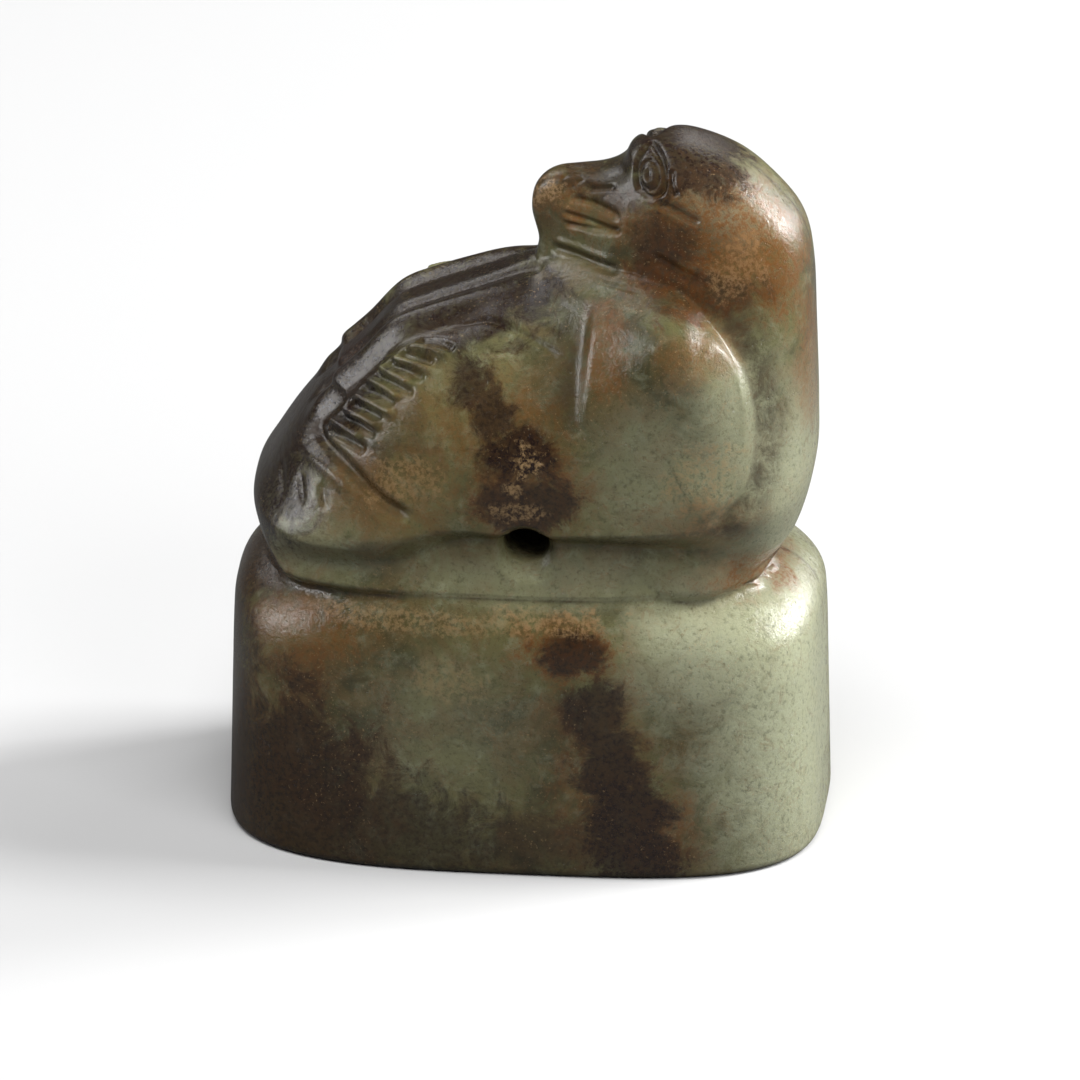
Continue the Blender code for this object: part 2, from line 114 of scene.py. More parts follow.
def at_shares(curve, shares):
    """Return the points at the given shares of a curve's length."""
    steps = np.linalg.norm(np.diff(curve, axis=0), axis=1)
    lengths = np.concatenate([[0], np.cumsum(steps)])
    wanted = np.asarray(shares) * lengths[-1]
    return np.stack([np.interp(wanted, lengths, curve[:, i]) for i in range(curve.shape[1])], 1)


def look_up(value, table):
    """Read a smooth curve through a table of (place, amount)."""
    curve = smooth_curve(table)
    return np.interp(value, curve[:, 0], curve[:, 1])


def rise(value, low, high):
    """Climb smoothly from 0 at low to 1 at high."""
    t = np.clip((value - low) / (high - low), 0, 1)
    return t * t * (3 - 2 * t)


def rounded(share, power=2.6):
    """Return the height of a rounded edge, 0 at its rim and 1 from share 1 inwards."""
    t = np.clip(share, 0, 1)
    return (1 - (1 - t) ** power) ** (1 / power)


print("a rounded edge is", round(float(rounded(0.2)), 2), "high a fifth of the way in")

# %% Helpers for distances
def beside(points, line):
    """Return each point's distance to a line, which side it is on, and its share along."""
    steps = np.linalg.norm(np.diff(line, axis=0), axis=1)
    starts = np.concatenate([[0], np.cumsum(steps)])
    nearest = np.full(len(points), np.inf)
    side = np.ones(len(points))
    place = np.zeros(len(points))
    for index, (a, b) in enumerate(zip(line, line[1:])):
        along = b - a
        share = np.clip((points - a) @ along / (along @ along), 0, 1)
        gap = points - a - share[:, None] * along
        square = np.einsum("ij,ij->i", gap, gap)
        closer = square < nearest
        nearest[closer] = square[closer]
        turn = along[0] * gap[:, -1] - along[-1] * gap[:, 0]
        side[closer] = np.sign(turn)[closer]
        place[closer] = (starts[index] + share * steps[index])[closer]
    return np.sqrt(nearest), side, place / starts[-1]


def inside(points, line):
    """Say which points a closed line of segments surrounds."""
    x, z = points[:, 0], points[:, 1]
    odd = np.zeros(len(points), bool)
    for (ax, az), (bx, bz) in zip(line, np.roll(line, -1, axis=0)):
        if az != bz:
            odd ^= ((az > z) != (bz > z)) & (x < ax + (bx - ax) * (z - az) / (bz - az))
    return odd


def blended_top(a, b, width):
    """Return the higher of two depths, with the crease between them softened."""
    soft = width * np.clip(np.maximum(a, b) / 2, 0.001, 1)
    near = np.clip(1 - np.abs(a - b) / soft, 0, 1)
    return np.maximum(a, b) + soft * near**2 / 4


level_line = np.array([[0.0, 0.0], [3.0, 0.0]])
print("a point 2 above a line is", beside(np.array([[1.0, 2.0]]), level_line)[0][0], "away")

# %% [markdown]
# ## The stamp block
#
# The lower half is a block whose plan is a rectangle with very round corners, a superellipse. Its
# walls lean in a little, its shoulders roll over towards the groove, and the edge of the seal face
# is worn. Writing the block as a half depth for each point of the side view lets the bird grow out
# of it in one skin, as in the stone.

# %% The block as a half depth
BASE_LENGTH = 34.2 * MM
BASE_DEPTH = 22.0 * MM
BASE_HEIGHT = 17.0 * MM
BASE_SQUARENESS = (3.2, 3.5)
BASE_DRAFT = 0.3 * MM
SHOULDER_HEIGHT = 3.8 * MM
SHOULDER_END = 5.1 * MM
SHOULDER_FRONT = 2.3 * MM
SHOULDER_SQUARENESS = 2.3
TOP_PLAN_HEIGHT = 6.0 * MM
FACE_EDGE_RADIUS = 0.5 * MM
GROOVE_DEPTH = 0.15
GROOVE_WIDTH = 0.2
GROOVE_BLEND = 1.6
GROOVE_BLEND_HEIGHT = 0.7 * MM


def base_inset(z, width):
    """Return how far the block's wall stands back at a height, for a shoulder this wide."""
    rolled = np.clip((z - (BASE_HEIGHT - SHOULDER_HEIGHT)) / SHOULDER_HEIGHT, 0, 1)
    shoulder = width * (1 - np.sqrt(1 - rolled**2))
    down = np.clip(1 - z / FACE_EDGE_RADIUS, 0, 1)
    edge = FACE_EDGE_RADIUS * (1 - np.sqrt(1 - down**2))
    return shoulder + edge + BASE_DRAFT * np.clip(z / BASE_HEIGHT, 0, 1)


def by_end(x, pair):
    """Choose from a pair of values: the first at the tail's end, the second at the breast's."""
    return np.where(x < 0, *pair)


def base_half_length(z):
    return BASE_LENGTH / 2 - base_inset(z, SHOULDER_END)


def superellipse(across, squareness):
    """Return a plan's half depth, 1 in the middle and 0 at its ends, where across is 1."""
    return (1 - np.clip(np.abs(across), 0, 1) ** squareness) ** (1 / squareness)


def base_depth(x, z):
    """Return the block's half depth at a point of the side view."""
    half = BASE_DEPTH / 2 - base_inset(z, SHOULDER_FRONT)
    top = rise(z, BASE_HEIGHT - TOP_PLAN_HEIGHT, BASE_HEIGHT)
    squareness = (1 - top) * by_end(x, BASE_SQUARENESS) + top * SHOULDER_SQUARENESS
    wall = half * superellipse(x / base_half_length(z), squareness)
    return np.where(z <= BASE_HEIGHT, wall, 0)


print("block", BASE_LENGTH / MM, "x", BASE_DEPTH / MM, "x", BASE_HEIGHT / MM, "mm")

# %% [markdown]
# ## The bird
#
# The bird lies with its breast to the right and its tail to the left, and looks back over its
# spine. Its side view is drawn in millimetres above the groove. The body ends along a line under
# the head and beside the breast, so the neck and breast stand behind the wing's front edge. A
# sculptor would push clay for this; an outline, a few tables of depths and a rounded edge give the
# same swell, and keep it exactly on the outline of the real one.

# %% The bird's outlines
BIRD_LENGTH = 32.4 * MM
BIRD_HEIGHT = 25.0 * MM
BIRD_DEPTH = 20.0 * MM
DRAWN = (32.4, 20.0, 25.0)

BACK = [
    (-13.6, -2.2), (-14.8, 0.0), (-15.5, 1.5), (-15.75, 3.1), (-14.8, 4.9), (-13.6, 6.8),
    (-12.2, 8.6), (-11.2, 9.7), (-11.0, 10.4), (-10.3, 11.1), (-9.4, 12.0), (-7.6, 14.0),
    (-5.4, 15.05), (-2.7, 16.1), (0.3, 17.4)]
HEAD_AND_BREAST = [
    (0.3, 17.4), (0.5, 18.5), (0.1, 20.3), (0.4, 21.8), (1.6, 22.75), (4.2, 23.05),
    (5.3, 23.55), (5.85, 24.4), (7.0, 24.85), (9.0, 25.0), (12.0, 23.9), (14.25, 22.0),
    (15.7, 20.0), (16.25, 17.4), (16.4, 13.0), (16.5, 8.0), (16.4, 5.0), (15.6, 2.0),
    (14.3, 0.0), (13.2, -2.2)]
CROWN = (9.0, 25.0)
CORE = [(0.0, 0.0), (-1.0, 3.5), (2.5, 9.5), (7.5, 15.0), (9.0, 19.5), CROWN]
WING_END = [
    (0.3, 17.6), (3.0, 18.3), (6.0, 18.7), (8.6, 18.3), (10.8, 17.0), (12.7, 14.8),
    (14.0, 12.0), (14.6, 9.0), (14.5, 6.5), (14.2, 4.0), (14.0, 0.0), (13.8, -2.2)]

HEAD_CURVE = smooth_curve(HEAD_AND_BREAST)
CROWN_INDEX = int(np.argmin(np.linalg.norm(HEAD_CURVE - CROWN, axis=1)))
BIRD_LEFT = np.vstack([smooth_curve(BACK)[:-1], HEAD_CURVE[:CROWN_INDEX + 1]])
BIRD_RIGHT = HEAD_CURVE[:CROWN_INDEX - 1:-1]
BIRD_OUTLINE = np.vstack([BIRD_LEFT, BIRD_RIGHT[-2::-1]])
WING_END_LINE = smooth_curve(WING_END)
WING_OUTLINE = np.vstack([smooth_curve(BACK)[:-1], WING_END_LINE])
print("bird", np.ptp(BIRD_OUTLINE[:, 0]).round(1), "mm long")

# %% The bird's depths
BODY_DEPTH = 9.95
HEAD_DEPTH = [(0.0, 1.6), (3.0, 2.5), (6.0, 3.9), (9.0, 4.9), (12.5, 5.1), (17.0, 5.1)]
BREAST_SPREAD = [
    (-2.0, 4.3), (3.0, 4.3), (6.0, 4.1), (9.0, 3.7), (12.0, 2.8), (15.0, 1.5), (18.0, 0.4),
    (20.5, 0.0), (26.0, 0.0)]
BODY_ROUND = [(-2.0, 5.0), (0.5, 6.0), (3.0, 9.0), (6.0, 11.0), (10.0, 12.0), (19.0, 12.0)]
BREAST_ROUND = [(-2.0, 5.0), (1.0, 6.4), (8.0, 8.5), (14.0, 7.5), (19.0, 6.2), (26.0, 6.2)]
TOP_ROUND = 12.0
WING_FRONT_ROUND = 3.6
WING_FRONT_FROM = 4.0
WING_FRONT_FULL = 10.0
BREAST_BLEND = 0.5
BAND_TOP = [
    (-17.0, 3.0), (-8.0, 3.4), (-4.0, 4.2), (0.0, 4.0), (5.0, 4.2), (9.5, 4.5), (17.0, 5.2)]
BAND_SOFTNESS = [
    (-17.0, 3.0), (-7.0, 2.2), (-2.0, 0.8), (4.0, 1.0), (9.0, 1.9), (13.0, 2.8), (17.0, 3.0)]
BAND_LIP = 0.1
BAND_HALF_LENGTHS = (16.2, 15.2)
BAND_HALF_DEPTH = 9.5
BAND_SQUARENESS = (3.2, 2.4)
BAND_KEPT_SHARE = 0.86
COVE_DEPTH = 0.35
COVE_FLARE_HEIGHT = 1.9
FOOT_HEIGHT = 2.2
HOLE_DIAMETER = 2.65 * MM
HOLE_ALONG = 0.6 * MM
HOLE_ABOVE_GROOVE = 3.05 * MM
HOLE_WEAR_RADIUS = 2.1
HOLE_WEAR_DEPTH = 0.45
HOLE_WEAR_BELOW = 0.35
HOLE_RIM_FROM = -0.1
HOLE_RIM_WIDTH = 0.4
HOLE_RIM_DEPTH = 0.22


def drawn_depth(points):
    """Return the bird's half depth before carving, all in drawn millimetres."""
    x, above = points.T
    edge = beside(points, BIRD_OUTLINE)[0] * inside(points, BIRD_OUTLINE)
    end = beside(points, WING_END_LINE)[0] * inside(points, WING_OUTLINE)
    wing_front = rise(x, WING_FRONT_FROM, WING_FRONT_FULL)
    end_round = TOP_ROUND + (WING_FRONT_ROUND - TOP_ROUND) * wing_front
    body = BODY_DEPTH * rounded(edge / look_up(above, BODY_ROUND)) * rounded(end / end_round)
    breast = look_up(x, HEAD_DEPTH) + look_up(above, BREAST_SPREAD)
    breast = breast * rounded(edge / look_up(above, BREAST_ROUND))
    depth = blended_top(body, breast, BREAST_BLEND)
    band_edge = look_up(x, BAND_TOP)
    band = 1 - rise(above, band_edge - look_up(x, BAND_SOFTNESS), band_edge + BAND_LIP)
    flare = np.clip(1 - above / COVE_FLARE_HEIGHT, 0, 1) ** 2
    across = x / by_end(x, BAND_HALF_LENGTHS)
    cove = BAND_HALF_DEPTH * superellipse(across, by_end(x, BAND_SQUARENESS))
    cove = np.maximum(cove - COVE_DEPTH * (1 - flare), BAND_KEPT_SHARE * depth)
    depth -= band * np.clip(depth - cove, 0, None)
    over_hole = above - HOLE_ABOVE_GROOVE / MM
    wear = np.hypot(x - HOLE_ALONG / MM, over_hole + HOLE_WEAR_BELOW)
    depth -= HOLE_WEAR_DEPTH * (1 - rise(wear, 0.5 * HOLE_WEAR_RADIUS, HOLE_WEAR_RADIUS))
    rim = np.hypot(x - HOLE_ALONG / MM, over_hole) - HOLE_DIAMETER / MM / 2
    depth -= HOLE_RIM_DEPTH * (1 - rise(rim, HOLE_RIM_FROM, HOLE_RIM_WIDTH))
    return depth * (1 - np.clip(-above / FOOT_HEIGHT, 0, 1) ** 2)


# %% Bird and block together
def to_drawing(x, z):
    """Turn side view places in metres into the bird's drawn millimetres."""
    return np.stack([x * DRAWN[0] / BIRD_LENGTH, (z - BASE_HEIGHT) * DRAWN[2] / BIRD_HEIGHT], 1)


def depth_at(x, z):
    """Return the seal's half depth at points of the side view, with the groove under the bird."""
    block = base_depth(x, z) / MM
    bird = drawn_depth(to_drawing(x, z)) * BIRD_DEPTH / DRAWN[1] / MM
    blend = GROOVE_BLEND * rise(BASE_HEIGHT - z, 0, GROOVE_BLEND_HEIGHT)
    taller = blended_top(block, bird, np.maximum(blend, 0.001))
    groove = GROOVE_DEPTH * np.exp(-((block - bird) / GROOVE_WIDTH) ** 2)
    return (taller - groove * np.clip(taller / 3, 0, 1)) * MM


for name, x, z in (("block front", 0, 8), ("flank", 0, 24), ("breast", 14, 30), ("head", 9, 38)):
    half = depth_at(np.array([x * MM]), np.array([z * MM]))[0] / MM
    print(name, "half depth", round(float(half), 2), "mm")

# %% [markdown]
# ## The carving
#
# The carver cut lines into the rounded form: a step along the wing's front edge, a fold down the
# shoulder, a row of short feather strokes, bands along the spine, a cut that sets off the tail,
# and the beak, the eye and the cheek on the head. Each one is a curve laid on the skin, and the
# skin is lifted or sunk by the distance to it. Sculpting by hand could do the same, but curves can
# be moved and deepened one by one.

# %% Tools that carve
def on_skin(line, steps=6):
    """Lay a line of the side view on the bird's skin."""
    flat = smooth_curve(line, steps)
    return np.stack([flat[:, 0], -drawn_depth(flat), flat[:, 1]], 1)


def near(points, line, reach):
    """Pick the points that a line can reach at all."""
    low, high = line.min(0) - reach, line.max(0) + reach
    return np.flatnonzero(((points > low) & (points < high)).all(1))


def faded(share, fade):
    return rise(share, 0, fade) * rise(1 - share, 0, fade)


def carve_line(lift, points, line, width, amount, fade=0.15):
    """Add a ridge, or with a negative amount a groove, that fades at its line's ends."""
    laid = on_skin(line)
    close = near(points, laid, 3 * width)
    distance, _, share = beside(points[close], laid)
    lift[close] += amount * faded(share, fade) * np.exp(-((distance / width) ** 2))


def carve_step(lift, points, line, reach, amount, fade=0.1, softness=0.3):
    """Add a step: the line's left side stands proud, its right side lies low."""
    laid = on_skin(line)
    close = near(points, laid, 3 * reach)
    distance, side, share = beside(points[close], laid)
    slope = np.tanh(side * distance / softness) * np.exp(-((distance / reach) ** 1.5))
    lift[close] += amount * faded(share, fade) * slope


print("a cut at its end and in its middle:", faded(0.0, 0.15), faded(0.5, 0.15))

# %% Body lines
CARVED_FROM = -0.6
# A spine band: how far from the middle, half width, lift (minus sinks), where it fades out.
SPINE_BANDS = [
    (1.5, 0.45, -0.25, (-1.0, 3.2)), (2.8, 0.6, 0.22, (-3.0, 1.5)),
    (4.35, 0.7, -0.42, (-4.5, -1.5))]
SPINE_START = (-12.8, -11.6)
SPINE_FOOT = 7
TAIL_CUT = [
    (-12.1, 8.0), (-11.0, 7.6), (-10.0, 7.15), (-9.0, 6.55), (-8.1, 5.9), (-7.0, 5.3), (-5.6, 4.8)]
TAIL_RIDGE = [(-12.8, 6.9), (-11.7, 6.7), (-10.6, 6.4), (-9.7, 5.9), (-8.8, 5.3)]
WING_FRONT = [
    (9.6, 4.5), (11.0, 5.0), (12.7, 6.6), (13.3, 8.2), (13.4, 9.8), (13.2, 11.7),
    (12.7, 13.4), (12.0, 14.7), (11.1, 15.8), (10.0, 16.8)]
WING_FRONT_CREST = [
    (10.4, 15.9), (11.5, 14.7), (12.2, 13.6), (12.7, 12.3), (12.9, 10.9), (12.9, 9.5), (12.7, 8.2)]
WING_FOLD = [(4.2, 17.2), (4.0, 16.2), (3.9, 14.8), (3.8, 13.4), (3.8, 11.3), (4.4, 9.3)]
TAIL_LINES = [
    [(-13.9, 5.6), (-13.6, 4.0)], [(-12.7, 5.9), (-12.3, 4.2)], [(-11.4, 5.9), (-10.9, 4.4)]]
COVERT_LINE = [(-4.4, 14.7), (-2.1, 15.1), (-0.7, 14.9), (0.8, 14.6), (2.7, 14.0)]
# A cut: the tool, its line, half width, lift, the share its ends fade over, a step's softness.
WING_CUTS = [
    (carve_line, TAIL_CUT, 0.36, -0.52, 0.15), (carve_line, TAIL_RIDGE, 0.45, 0.2, 0.25),
    (carve_step, TAIL_CUT, 1.4, 0.1, 0.1, 0.3), (carve_step, WING_FRONT, 2.6, 0.4, 0.15, 0.7),
    (carve_line, WING_FRONT_CREST, 0.42, 0.1, 0.3), (carve_step, WING_FOLD, 2.6, 0.32, 0.3, 0.4)]
FINE_CUTS = [(carve_line, line, 0.28, -0.13, 0.3) for line in TAIL_LINES]
FINE_CUTS.append((carve_line, COVERT_LINE, 0.2, -0.17, 0.2))
print(len(SPINE_BANDS), "spine bands,", len(WING_CUTS) + len(FINE_CUTS), "cuts on the body")

# %% Feather tufts
FEATHER_EDGE = [
    (-6.2, 13.9), (-7.4, 12.9), (-8.6, 11.8), (-9.5, 10.7), (-10.2, 9.7), (-10.9, 8.9),
    (-11.3, 8.2)]
FEATHERS = 7
FEATHER_REACH = (2.5, -0.1)
FEATHER_HALF_WIDTH = 0.26
FEATHER_AMOUNTS = (-0.34, 0.3)
FEATHER_LENGTH_WAVER = 0.12
FEATHER_BULGE = 0.12
FEATHER_BULGE_WAVER = 0.06
WAVER_TURNS = (2.3, 1.7)


def carve_feathers(lift, points):
    """Add the feather tufts, a groove before and after each ridge, none as long as the next."""
    starts = at_shares(smooth_curve(FEATHER_EDGE), np.linspace(0, 1, 2 * FEATHERS + 1))
    for index, start in enumerate(starts):
        longer = FEATHER_LENGTH_WAVER * math.sin(WAVER_TURNS[0] * index)
        reach = np.multiply(FEATHER_REACH, 1 + longer)
        bulge = FEATHER_BULGE + FEATHER_BULGE_WAVER * math.cos(WAVER_TURNS[1] * index)
        line = [start, start + reach / 2 + (0, bulge), start + reach]
        carve_line(lift, points, line, FEATHER_HALF_WIDTH, FEATHER_AMOUNTS[index % 2])


def carve_body(lift, points):
    x, depth, above = points[:, 0], -points[:, 1], points[:, 2]
    for level, half_width, amount, head_fade in SPINE_BANDS:
        along_back = rise(x, *SPINE_START) * (1 - rise(x, *head_fade)) * (above > SPINE_FOOT)
        lift += amount * along_back * np.exp(-(((depth - level) / half_width) ** 2))
    for tool, *values in WING_CUTS:
        tool(lift, points, *values)
    carve_feathers(lift, points)
    for tool, *values in FINE_CUTS:
        tool(lift, points, *values)


print(2 * FEATHERS + 1, "strokes in the row of tufts")

# %% Head lines
NECK_FOLD = [(6.9, 19.6), (8.6, 18.9), (10.3, 18.3), (10.9, 17.9)]
COLLAR = [(1.0, 18.35), (2.5, 18.4), (4.0, 18.3), (5.7, 18.2)]
COLLAR_RIDGE = [(1.2, 18.85), (2.6, 18.9), (4.2, 18.75), (5.6, 18.6)]
UNDER_COLLAR = [(3.9, 17.65), (4.7, 17.66), (5.8, 17.7), (6.9, 17.7)]
MANDIBLE = [(2.3, 21.6), (3.6, 21.6), (4.6, 21.4), (5.5, 21.1)]
BEAK_SIDE = [(3.2, 22.2), (4.2, 22.35), (5.2, 22.6)]
NOSTRIL = [(1.9, 22.45), (2.2, 22.7), (2.8, 22.75), (3.1, 22.6), (2.7, 22.4)]
MOUTH = [(1.9, 20.75), (3.35, 20.6), (4.6, 20.45), (5.6, 20.45)]
LOWER_BILL = [(1.9, 20.05), (3.4, 20.15), (4.6, 20.25), (5.6, 20.4)]
CHEEK = [(7.5, 22.6), (8.5, 22.4), (9.6, 21.9), (10.3, 21.7)]
LOWER_LID = [(6.4, 22.95), (7.1, 22.66), (8.0, 22.9)]
BEHIND_EYE = [(8.35, 24.3), (8.45, 23.6), (8.8, 23.0)]
EYE_CENTRE = (7.12, 23.8)
EYE_HALF_SIZE = (0.9, 1.05)


def eye_ring(share):
    turn = np.linspace(0, 2 * math.pi, 17)
    return np.stack([
        EYE_CENTRE[0] + share * EYE_HALF_SIZE[0] * np.cos(turn),
        EYE_CENTRE[1] + share * EYE_HALF_SIZE[1] * np.sin(turn)], 1)


# A cut: its line, half width, lift, the share its ends fade over; a closed ring hardly fades.
HEAD_CUTS = [
    (NECK_FOLD, 0.4, -0.24, 0.25), (COLLAR, 0.26, -0.24, 0.15), (COLLAR_RIDGE, 0.22, 0.12, 0.2),
    (UNDER_COLLAR, 0.12, -0.08, 0.2), (MANDIBLE, 0.2, -0.28, 0.15), (BEAK_SIDE, 0.2, -0.18, 0.25),
    (NOSTRIL, 0.12, -0.1, 0.1), (MOUTH, 0.17, -0.27, 0.15), (LOWER_BILL, 0.17, -0.22, 0.15),
    (CHEEK, 0.26, -0.26, 0.15), (LOWER_LID, 0.16, 0.14, 0.2), (BEHIND_EYE, 0.2, -0.24, 0.15),
    (eye_ring(1.0), 0.19, -0.3, 0.001), (eye_ring(0.62), 0.1, -0.12, 0.001),
    (eye_ring(0.3), 0.22, 0.14, 0.001)]
CARVED_TO_MIDDLE = 0.8
print(len(HEAD_CUTS), "cuts on the head")


def carving(points):
    """Return how far the carving lifts (or with minus sinks) the bird's skin, in drawn mm."""
    lift = np.zeros(len(points))
    carve_body(lift, points)
    for line, half_width, amount, fade in HEAD_CUTS:
        carve_line(lift, points, line, half_width, amount, fade)
    return lift * np.clip(-points[:, 1] / CARVED_TO_MIDDLE, 0, 1)


# %% [markdown]
# ## The fine skin
#
# The seen side is a grid whose rows bend from the left outline over the side to the right one, so
# no face is cut off at the outline. The grid is finer than the CAD's, and a Decimate modifier
# then takes faces away where the stone is plain and keeps them where it is carved. The other side
# is the mirror image. Rebuilding the form, instead of subdividing the CAD mesh, keeps the lines
# crisp.

# %% Lay out the grid
BASE_ROWS = 60
BIRD_ROWS = 400
HALF_COLUMNS = 170
FACE_EDGE_ROWS = [0.05, 0.2, 0.45, 0.75, 1.1]


def side_grid():
    """Return the side view's points, one row above another, from tail side to breast side."""
    heights = np.linspace(0, 1, BASE_ROWS, endpoint=False) * BASE_HEIGHT
    heights[1:6] = FACE_EDGE_RADIUS * np.array(FACE_EDGE_ROWS)
    half = base_half_length(heights)
    shares = np.linspace(0, 1, BIRD_ROWS)
    scale = np.array([BIRD_LENGTH / DRAWN[0], BIRD_HEIGHT / DRAWN[2]])
    above = [curve[curve[:, 1] >= 0] for curve in (BIRD_LEFT, BIRD_RIGHT, smooth_curve(CORE))]
    bird = [at_shares(curve, shares) * scale + (0, BASE_HEIGHT) for curve in above]
    left = np.vstack([np.stack([-half, heights], 1), bird[0]])
    right_side = np.vstack([np.stack([half, heights], 1), bird[1]])
    core = np.vstack([np.stack([0 * half, heights], 1), bird[2]])
    reach = np.sin(np.linspace(0, math.pi / 2, HALF_COLUMNS + 1))[:, None]
    to_left = core[:, None] + (left - core)[:, None] * reach[::-1]
    to_right = core[:, None] + (right_side - core)[:, None] * reach[1:]
    return np.concatenate([to_left, to_right], axis=1)


print(BASE_ROWS + BIRD_ROWS, "rows of", 2 * HALF_COLUMNS + 1, "points")


# %% Build one half of the skin
def carved_grid():
    """Return the carved skin's points, and how many rows and columns they stand in."""
    grid = side_grid()
    rows, columns = grid.shape[:2]
    flat = grid.reshape(-1, 2)
    depth = depth_at(flat[:, 0], flat[:, 1]).reshape(rows, columns)
    depth[:, [0, -1]] = 0
    places = np.stack([grid[..., 0], -depth, grid[..., 1]], 2)
    along = np.gradient(places, axis=1)
    upward = np.gradient(places, axis=0)
    normals = np.cross(along, upward).reshape(-1, 3)
    normals /= np.maximum(np.linalg.norm(normals, axis=1), 1e-12)[:, None]
    places = places.reshape(-1, 3)
    bird = np.flatnonzero(places[:, 2] > BASE_HEIGHT + CARVED_FROM * MM)
    drawn = to_drawing(places[bird, 0], places[bird, 2])
    drawn = np.insert(drawn, 1, places[bird, 1] * DRAWN[1] / BIRD_DEPTH, axis=1)
    lift = carving(drawn) * rise(drawn[:, 2], CARVED_FROM, 0) * MM
    places[bird] += normals[bird] * lift[:, None]
    return places, rows, columns


def build_half():
    """Make the skin of the side that faces -Y, down to the plane y = 0 all round."""
    places, rows, columns = carved_grid()
    bm = bmesh.new()
    bmesh.ops.create_grid(bm, x_segments=columns - 1, y_segments=rows - 1, size=1)
    for vert, place in zip(bm.verts, places):
        vert.co = place
    open_edges = [edge for edge in bm.edges if edge.is_boundary]
    rim = [edge for edge in open_edges if max(vert.co.z for vert in edge.verts) < 1e-9]
    for item in bmesh.ops.extrude_edge_only(bm, edges=rim)["geom"]:
        if isinstance(item, bmesh.types.BMVert):
            item.co.y = 0
    bmesh.ops.remove_doubles(bm, verts=bm.verts, dist=1e-7)
    bmesh.ops.recalc_face_normals(bm, faces=bm.faces)
    mesh = bpy.data.meshes.new("jade_skin")
    bm.to_mesh(mesh)
    bm.free()
    return mesh


# %% Thin its faces and mirror it
SKIN_FACES = 90000

skin = bpy.data.objects.new("jade_skin", build_half())
bpy.context.scene.collection.objects.link(skin)
fine_faces = 2 * len(skin.data.polygons)
thinner = skin.modifiers.new("Fewer facets", "DECIMATE")
thinner.ratio = SKIN_FACES / fine_faces
mirror = skin.modifiers.new("Other side", "MIRROR")
mirror.use_axis = (False, True, False)
mirror.merge_threshold = 0.0001
print("half skin", fine_faces, "triangles, kept", SKIN_FACES)

# %% [markdown]
# ## The cord hole and the seal face
#
# The hole was drilled straight through from side to side. Short straight strokes are cut into the
# seal face in rows, so that it prints a pattern. Boolean cutters do both, as a drill and a graver
# do, and leave clean walls. The worn rim of the hole is already in the skin.

# %% Cut the hole and the strokes
STROKE_ROWS = 4
STROKE_COLUMNS = 8
STROKE_WIDTH = 0.8 * MM
STROKE_LENGTH = 2.9 * MM
SHORT_STROKE_SHARE = 0.6
STROKE_DEPTH = 0.35 * MM
STROKE_FIELD_LENGTH = 24.0 * MM
STROKE_FIELD_DEPTH = 15.0 * MM


def add_cutter(name, bm):
    """Make a helper object that only cuts."""
    mesh = bpy.data.meshes.new(name)
    bm.to_mesh(mesh)
    bm.free()
    cutter = bpy.data.objects.new(name, mesh)
    bpy.context.scene.collection.objects.link(cutter)
    return cutter


def hole_cutter():
    bm = bmesh.new()
    place = Matrix.Translation((HOLE_ALONG, 0, BASE_HEIGHT + HOLE_ABOVE_GROOVE))
    bmesh.ops.create_cone(
        bm, cap_ends=True, segments=96, radius1=HOLE_DIAMETER / 2, radius2=HOLE_DIAMETER / 2,
        depth=2 * BASE_DEPTH, matrix=place @ Matrix.Rotation(math.pi / 2, 4, "X"))
    return add_cutter("drill", bm)


def stroke_cutter():
    bm = bmesh.new()
    for row in range(STROKE_ROWS):
        y = ((row + 0.5) / STROKE_ROWS - 0.5) * STROKE_FIELD_DEPTH
        for column in range(STROKE_COLUMNS):
            x = ((column + 0.5) / STROKE_COLUMNS - 0.5) * STROKE_FIELD_LENGTH
            length = STROKE_LENGTH * (1 if (row + column) % 2 else SHORT_STROKE_SHARE)
            size = Matrix.Diagonal((STROKE_WIDTH, length, 2 * STROKE_DEPTH, 1))
            bmesh.ops.create_cube(bm, size=1, matrix=Matrix.Translation((x, y, 0)) @ size)
    return add_cutter("strokes", bm)


cutters = [hole_cutter(), stroke_cutter()]
for cutter in cutters:
    cut = skin.modifiers.new(cutter.name, "BOOLEAN")
    cut.operation = "DIFFERENCE"
    cut.object = cutter

depsgraph = bpy.context.evaluated_depsgraph_get()
finished = bpy.data.meshes.new_from_object(skin.evaluated_get(depsgraph))
seal = bpy.data.objects.new("jade_stone", finished)
bpy.context.scene.collection.objects.link(seal)
for item in [skin] + cutters:
    bpy.data.objects.remove(item)
seal.data.shade_smooth()
print("finished seal", len(seal.data.polygons), "faces")

# %% Fit it into the frame
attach(seal, "root")
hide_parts("jade_seal")
print(seal.name, "stands in for jade_seal")

# %% [markdown]
# ## Measures for the stone's colours
#
# Dirt and old polish follow the carving: hollows hold brown dirt, ridges are rubbed bright. A
# value stored at each vertex, how far the carving sank or lifted it, lets the material know where
# the hollows are. Ambient occlusion could find them while rendering, but this value also goes
# along when the model leaves this scene.

# %% Store the hollows on the mesh
GROOVE_DIRT = 0.25
GROOVE_DIRT_WIDTH = 0.3
GROOVE_DIRT_FROM = -3

